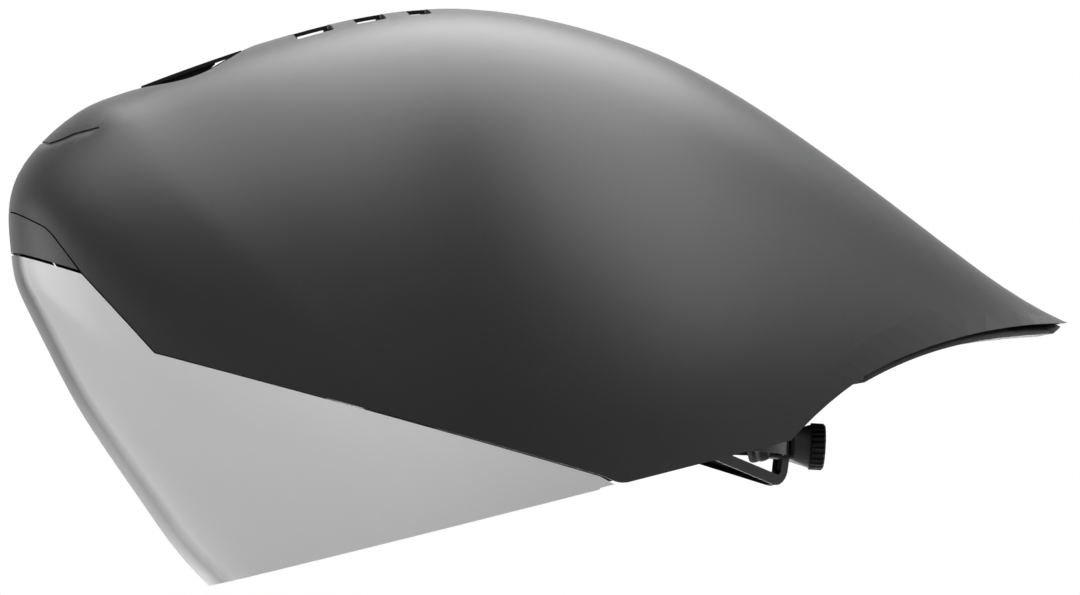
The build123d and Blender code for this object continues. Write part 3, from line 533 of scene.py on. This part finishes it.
# %% Stitch tree
def stitch_tree():
    group = bpy.data.node_groups.new("row_of_stitches", "GeometryNodeTree")
    group.interface.new_socket("Line", in_out="INPUT", socket_type="NodeSocketGeometry")
    for label, value in (("Pitch", 0.003), ("Stitch length", 0.0022), ("Thread width", 0.0004)):
        socket = group.interface.new_socket(label, in_out="INPUT", socket_type="NodeSocketFloat")
        socket.default_value = value
    group.interface.new_socket("Thread", in_out="INPUT", socket_type="NodeSocketMaterial")
    group.interface.new_socket("Seam", in_out="OUTPUT", socket_type="NodeSocketGeometry")
    given = group.nodes.new("NodeGroupInput").outputs
    line = add_node(group, "GeometryNodeMeshToCurve", inputs={
        "Mesh": given["Line"]}).outputs["Curve"]
    spread = add_node(group, "GeometryNodeResampleCurve", {"mode": "LENGTH"}, {
        "Curve": line, "Length": given["Pitch"]}).outputs["Curve"]
    forward = group.nodes.new("GeometryNodeInputTangent").outputs["Tangent"]
    turn = add_node(group, "FunctionNodeAlignRotationToVector", {"axis": "X"}, {"Vector": forward})
    ball = add_node(group, "GeometryNodeMeshUVSphere", inputs={
        "Segments": 8, "Rings": 6, "Radius": 0.5})
    size = add_node(group, "ShaderNodeCombineXYZ", inputs={
        "X": given["Stitch length"], "Y": given["Thread width"], "Z": given["Thread width"]})
    sewn = add_node(group, "GeometryNodeInstanceOnPoints", inputs={
        "Points": spread, "Instance": ball.outputs["Mesh"], "Rotation": turn.outputs["Rotation"],
        "Scale": size.outputs["Vector"]})
    real = add_node(group, "GeometryNodeRealizeInstances", inputs={
        "Geometry": sewn.outputs["Instances"]})
    round_look = add_node(group, "GeometryNodeSetShadeSmooth", inputs={
        "Geometry": real.outputs["Geometry"]})
    painted = add_node(group, "GeometryNodeSetMaterial", inputs={
        "Geometry": round_look.outputs["Geometry"], "Material": given["Thread"]})
    add_node(group, "NodeGroupOutput", inputs={"Seam": painted.outputs["Geometry"]})
    return group


stitches = stitch_tree()
print(stitches.name, len(stitches.nodes), "nodes")

# %% Sewing a line
def sew(name, lines, body, pitch, stitch, thread):
    mesh = bpy.data.meshes.new(name)
    spots, edges = [], []
    for line, closed in lines:
        first = len(spots)
        spots += [tuple(p) for p in line]
        edges += [(first + k, first + k + 1) for k in range(len(line) - 1)]
        if closed:
            edges.append((first + len(line) - 1, first))
    mesh.from_pydata(spots, edges, [])
    rough_piece = bpy.data.objects.new(name + "_line", mesh)
    scene.collection.objects.link(rough_piece)
    modifier = rough_piece.modifiers.new("stitches", "NODES")
    modifier.node_group = stitches
    values = {"Pitch": pitch, "Stitch length": stitch, "Thread width": thread,
              "Thread": seam_thread}
    for item in stitches.interface.items_tree:
        if item.in_out == "INPUT" and item.name in values:
            modifier[item.identifier] = values[item.name]
    apply_all(rough_piece)
    seam = new_piece(name, rough_piece.data, seam_thread, body)
    bpy.data.objects.remove(rough_piece)
    print(name, len(seam.data.polygons), "faces")


# %% [markdown]
# ## Seams on the strap and the pads
# Each band is sewn with three rows below its anchor. Five of the pads have a seam 3 mm inside
# their edge, where the bag is closed over the foam, and the small occipital pads have none. A
# pad's seam is found on the finished cushion: a ray goes out through each point of a rounded
# rectangle, and the stitch lies where it first meets the pad.

# %% Strap seams
half_box = 0.0052
row_start, row_end = 0.002, 0.012
strap_thread_lift = 0.00018
for side_name, side in (("left", 1), ("right", -1)):
    rows = []
    for top, face in ((front_top, 1), (rear_top, -1)):
        run = (divider_at - top).normalized()
        across = Vector((0, -run.z, run.y))
        for shift in (-half_box, 0.0, half_box):
            x = side * strap_x + face * side * (band_wall + strap_thread_lift)
            rows.append(([top + run * row_start + across * shift + Vector((x, 0, 0)),
                          top + run * row_end + across * shift + Vector((x, 0, 0))], False))
    sew("strap_end_seam_" + side_name, rows, "shell", pitch=0.0026, stitch=0.002, thread=0.0004)

# %% Pad seams
seam_inset = 0.003
pad_thread_lift = 0.0001


def pad_seam(cushion, centre, toward, right, half_width, half_height, corner=0.004, steps=8):
    cushion_faces = BVHTree.FromObject(cushion, bpy.context.evaluated_depsgraph_get())
    toward, right = Vector(toward), Vector(right)
    up = toward.cross(right)
    loop = []
    for number, (sx, sy) in enumerate(((1, 1), (-1, 1), (-1, -1), (1, -1))):
        for step in range(steps + 1):
            angle = math.radians(90 * number + 90 * step / steps)
            loop.append((sx * (half_width - corner) + corner * math.cos(angle),
                         sy * (half_height - corner) + corner * math.sin(angle)))
    line = []
    for a, b in loop:
        start = Vector(centre) + right * a + up * b
        hit, normal, _, _ = cushion_faces.ray_cast(start, toward)
        if hit is not None:
            line.append(hit + normal * pad_thread_lift)
    return line


# For each pad: start of the rays, their direction, the width axis, half width and half height
pad_faces = {
    "brow_pad": ((0, 0, 0.110), (0, -1, 0), (1, 0, 0), 0.042, 0.014),
    "rear_pad": ((0, 0, 0.118), (0, 1, 0), (1, 0, 0), 0.042, 0.014),
    "crown_pad": ((0, 0, 0.100), (0, 0, 1), (1, 0, 0), 0.024, 0.040),
    "side_pad_left": ((0, 0, 0.107), (1, 0, 0), (0, 1, 0), 0.026, 0.015),
    "side_pad_right": ((0, 0, 0.107), (-1, 0, 0), (0, 1, 0), 0.026, 0.015),
}
for node, (centre, toward, right, half_w, half_h) in pad_faces.items():
    cushion = bpy.data.objects[node + "_cushion"]
    line = pad_seam(cushion, centre, toward, right, half_w - seam_inset, half_h - seam_inset)
    sew(node + "_seam", [(line, True)], body_of_node(node),
        pitch=0.0028, stitch=0.0021, thread=0.00045)

# %% [markdown]
# ## Floor, light and camera
# The photograph shows the helmet floating on plain white. The floor is pale, keeps a soft
# shadow and fades into the white world further out. It lies just low enough that the lens can
# slide down off its magnets without reaching it. Camera, gloss and transmission rays see the
# world as even white, and so the satin shell brightens at its skyline as it does in a white
# studio, while the light that falls on matt surfaces comes from a dome that is brighter above.
#
# The lamps aren't physical. Three of the five show only in gloss, and the fill lamp lights only
# what is matt. They were set against the photograph's tones, so they suit its side. Seen from
# behind on the wearer's right, the lens reflects so much white that it nearly vanishes.

# %% Floor
lens_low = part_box("visor_lens")[0].z
lens_travel = next(joint["range_m"][1] for joint in frame["record"]["behaviour"]["joints"]
                   if joint["name"] == "visor_slide")
floor_clearance = 0.002
floor_z = lens_low - lens_travel - floor_clearance
floor_half = 20.0
near_white = 0.75
fade_scale = 0.5  # with the ramp's 0.2 and 0.8, the floor fades from 0.4 m to 1.6 m out
mesh = bpy.data.meshes.new("floor")
mesh.from_pydata([(-floor_half, -floor_half, floor_z), (floor_half, -floor_half, floor_z),
                  (floor_half, floor_half, floor_z), (-floor_half, floor_half, floor_z)],
                 [], [(0, 1, 2, 3)])
floor = bpy.data.objects.new("floor", mesh)
scene.collection.objects.link(floor)
floor_paint, tree, shader, place = new_material("matt_paper_floor")
path = add_node(tree, "ShaderNodeLightPath")
shown = add_node(tree, "ShaderNodeMath", {"operation": "MAXIMUM"}, {
    0: path.outputs["Is Camera Ray"], 1: path.outputs["Is Glossy Ray"]})
shown_tone = add_node(tree, "ShaderNodeMix", {"data_type": "RGBA"}, {
    "Factor": shown.outputs["Value"], "A": linear("484848"), "B": linear("f4f4f4")})
tree.links.new(shown_tone.outputs["Result"], shader.inputs["Base Color"])
shader.inputs["Roughness"].default_value = 0.9
shader.inputs["Specular IOR Level"].default_value = 0.1
length = add_node(tree, "ShaderNodeVectorMath", {"operation": "LENGTH"}, {0: place})
reach = add_node(tree, "ShaderNodeMath", {"operation": "MULTIPLY"}, {
    0: length.outputs["Value"], 1: fade_scale})
far = ramp(tree, reach.outputs["Value"], [(0.2, near_white), (0.8, 1.0)])
white = add_node(tree, "ShaderNodeEmission", inputs={"Color": (1, 1, 1, 1), "Strength": 1.0})
seen = add_node(tree, "ShaderNodeMath", {"operation": "MULTIPLY"}, {
    0: far, 1: path.outputs["Is Camera Ray"]})
blend_floor = add_node(tree, "ShaderNodeMixShader", inputs={
    0: seen.outputs["Value"], 1: shader.outputs["BSDF"], 2: white.outputs["Emission"]})
tree.links.new(blend_floor.outputs["Shader"], tree.nodes["Material Output"].inputs["Surface"])
mesh.materials.append(floor_paint)
print("floor at", round(floor_z, 4), "m")

# %% World
dome_axis = (-0.60, 0.30, 0.74)
world = bpy.data.worlds.new("studio")
scene.world = world
world.use_nodes = True
tree = world.node_tree
background = tree.nodes["Background"]
sky = add_node(tree, "ShaderNodeTexCoord")
height = add_node(tree, "ShaderNodeVectorMath", {"operation": "DOT_PRODUCT"}, {
    0: sky.outputs["Generated"], 1: dome_axis})
dome = add_node(tree, "ShaderNodeMapRange", {"interpolation_type": "SMOOTHSTEP"}, {
    "Value": height.outputs["Value"], "From Min": -0.2, "From Max": 0.8,
    "To Min": 0.06, "To Max": 1.3})
path = add_node(tree, "ShaderNodeLightPath")
direct = add_node(tree, "ShaderNodeMath", {"operation": "MAXIMUM"}, {
    0: path.outputs["Is Camera Ray"], 1: path.outputs["Is Transmission Ray"]})
direct = add_node(tree, "ShaderNodeMath", {"operation": "MAXIMUM"}, {
    0: direct.outputs["Value"], 1: path.outputs["Is Glossy Ray"]})
level = add_node(tree, "ShaderNodeMix", inputs={
    "Factor": direct.outputs["Value"], "A": dome.outputs["Result"], "B": 1.0})
background.inputs["Color"].default_value = (1, 1, 1, 1)
tree.links.new(level.outputs["Result"], background.inputs["Strength"])
print("world ready")

# %% Lamps
def lamp(name, place, aim, size, power, shows_in_gloss=True, lights_matt=True):
    data = bpy.data.lights.new(name, "AREA")
    data.shape = "DISK"
    data.size = size
    data.energy = power
    piece = bpy.data.objects.new(name, data)
    scene.collection.objects.link(piece)
    piece.location = place
    piece.rotation_euler = (Vector(aim) - Vector(place)).to_track_quat("-Z", "Y").to_euler()
    piece.visible_camera = False
    piece.visible_glossy = shows_in_gloss
    piece.visible_diffuse = lights_matt
    print(name, power, "W", "gloss only" if not lights_matt else "")


# Each lamp: name, place, aim, size in metres, power in watts
lamp("top_lamp", (-0.6, 0.7, 1.9), (0, 0.05, 0.1), 2.4, 170)
lamp("front_top_lamp", (0.45, -0.5, 1.9), (0, 0.05, 0.1), 1.6, 65, lights_matt=False)
lamp("front_lamp", (-0.4, -1.8, 0.4), (0, -0.1, 0.1), 1.2, 22, lights_matt=False)
lamp("rear_top_lamp", (0.8, 1.5, 1.4), (0, 0.05, 0.1), 1.6, 75, lights_matt=False)
lamp("fill_lamp", (1.7, -1.5, 0.5), (0, -0.1, 0.05), 1.5, 20, shows_in_gloss=False)

# %% Camera
camera_data = bpy.data.cameras.new("camera")
camera = bpy.data.objects.new("camera", camera_data)
scene.collection.objects.link(camera)
scene.camera = camera
camera_data.sensor_width = 36.0
camera_data.lens = 800.0
photo_width = 0.4608
photo_centre = Vector((0, 0.0233, 0.0845))
photo_roll = math.radians(14.2)
photo_yaw = math.radians(5.0)
distance = camera_data.lens * photo_width / camera_data.sensor_width
back = Vector((math.cos(photo_yaw), -math.sin(photo_yaw), 0))
camera.location = photo_centre + back * distance
upright = (-back).to_track_quat("-Z", "Y")
camera.rotation_mode = "QUATERNION"
camera.rotation_quaternion = Matrix.Rotation(photo_roll, 3, -back).to_quaternion() @ upright
camera_data.clip_start = 0.1
camera_data.clip_end = 100.0
scene.view_settings.view_transform = "Standard"
print("camera", [round(x, 3) for x in camera.location])
